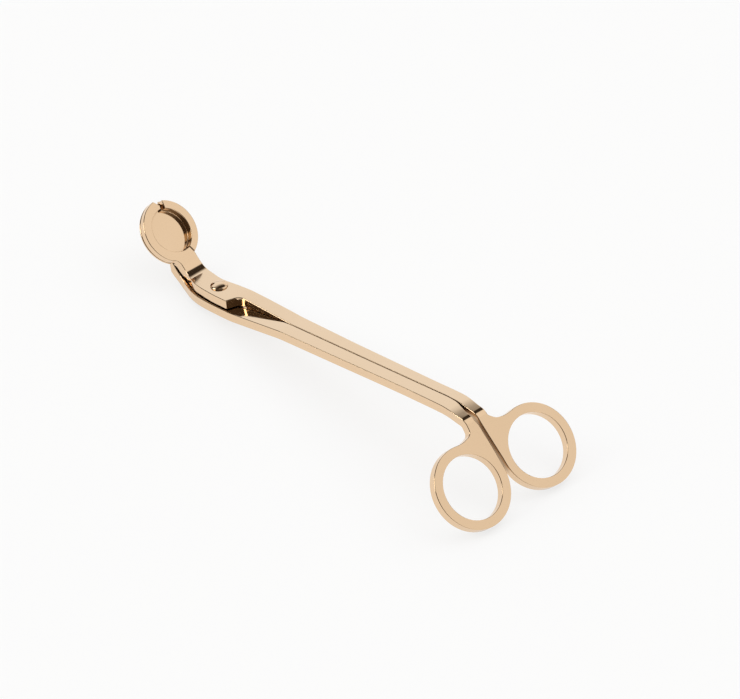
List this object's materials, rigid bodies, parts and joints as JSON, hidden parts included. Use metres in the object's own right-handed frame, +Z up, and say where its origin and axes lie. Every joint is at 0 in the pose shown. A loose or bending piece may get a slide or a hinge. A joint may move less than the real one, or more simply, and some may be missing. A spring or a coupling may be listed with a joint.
{
  "type": "wick trimmer",
  "caption": "Scissor-action candle wick trimmer: a hooked half-ring blade closes over a shallow catch tray at a riveted pivot, with angled head and bent-down finger loops.",
  "frame": {"origin": "bottom centre of the whole tool's box, on the table it rests on", "axes": "+X from the head to the finger loops, +Z up, with the tool resting on its neck and both loops"},
  "size_m": [0.1796, 0.0586, 0.026],
  "materials": {
    "gold_plating": "mirror-polished pale rose-gold plating",
    "washer_steel": "satin"
  },
  "bodies": {
    "tray_side": {"tray_lever": "gold_plating", "pivot_rivet": "gold_plating", "pivot_washer": "washer_steel"},
    "hook_side": {"hook_lever": "gold_plating"}
  },
  "joints": [
    {"name": "rivet_pivot", "type": "hinge", "parent": "tray_side", "child": "hook_side", "pos_m": [-0.05465, 0.00119, 0.00696], "axis": [-0.1658, 0.0252, 0.9858], "range_deg": [0, 20]}
  ]
}
